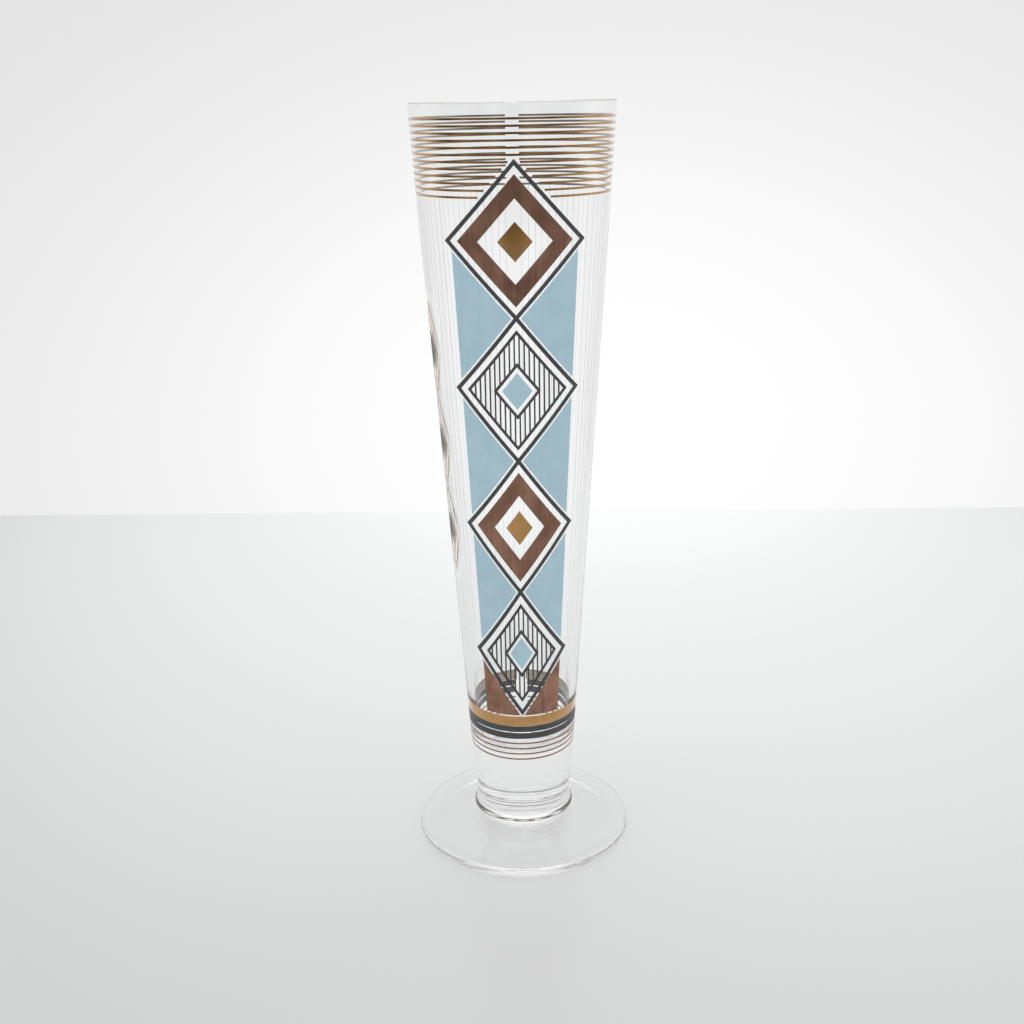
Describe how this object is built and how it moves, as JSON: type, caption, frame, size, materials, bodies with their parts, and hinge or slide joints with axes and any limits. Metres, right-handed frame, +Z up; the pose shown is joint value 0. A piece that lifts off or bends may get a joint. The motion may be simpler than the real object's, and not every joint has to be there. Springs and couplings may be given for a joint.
{
  "type": "footed beer glass",
  "caption": "Tall straight-sided beer glass on a disc foot, clear, with fired gold rings, dark bands and a column of lozenges.",
  "frame": {"origin": "centre of the foot's resting plane, on the axis of the glass", "axes": "+Z up along the axis of the glass, from the foot to the rim; -Y towards the front of the print, +Y towards the print's seam"},
  "size_m": [0.075, 0.075, 0.25],
  "materials": {
    "clear_glass": "fire-polished clear soda-lime glass",
    "gold_film": "fired bright gold, thin and glossy",
    "copper_film": "fired copper-brown lustre, satin",
    "charcoal_enamel": "fired opaque charcoal enamel, satin gloss",
    "blue_enamel": "fired opaque pale blue enamel, satin gloss"
  },
  "bodies": {
    "root": {"foot": "clear_glass", "stem_bead": "clear_glass", "bowl": "clear_glass", "gold_ring_01": "gold_film", "gold_ring_02": "gold_film", "gold_ring_03": "gold_film", "gold_ring_04": "gold_film", "gold_ring_05": "gold_film", "gold_ring_06": "gold_film", "gold_ring_07_left": "gold_film", "gold_ring_07_right": "gold_film", "gold_ring_08_left": "gold_film", "gold_ring_08_right": "gold_film", "gold_ring_09_left": "gold_film", "gold_ring_09_right": "gold_film", "gold_ring_10_left": "gold_film", "gold_ring_10_right": "gold_film", "gold_ring_11_left": "gold_film", "gold_ring_11_right": "gold_film", "gold_field": "gold_film", "charcoal_band_upper": "charcoal_enamel", "charcoal_band_lower": "charcoal_enamel", "copper_ring_1": "copper_film", "copper_ring_2": "copper_film", "copper_ring_3": "copper_film", "copper_ring_4": "copper_film", "lattice": "charcoal_enamel", "copper_lozenge_upper": "copper_film", "gold_diamond_upper": "gold_film", "striped_lozenge_upper": "charcoal_enamel", "blue_diamond_upper": "blue_enamel", "copper_lozenge_lower": "copper_film", "gold_diamond_lower": "gold_film", "striped_lozenge_lower": "charcoal_enamel", "blue_diamond_lower": "blue_enamel", "blue_triangle_1_left": "blue_enamel", "blue_triangle_1_right": "blue_enamel", "blue_triangle_2_left": "blue_enamel", "blue_triangle_2_right": "blue_enamel", "blue_triangle_3_left": "blue_enamel", "blue_triangle_3_right": "blue_enamel", "copper_corner_left": "copper_film", "copper_corner_right": "copper_film", "side_chain": "gold_film", "side_diamond_1": "charcoal_enamel", "side_diamond_2": "charcoal_enamel", "side_diamond_3": "charcoal_enamel"}
  },
  "joints": []
}
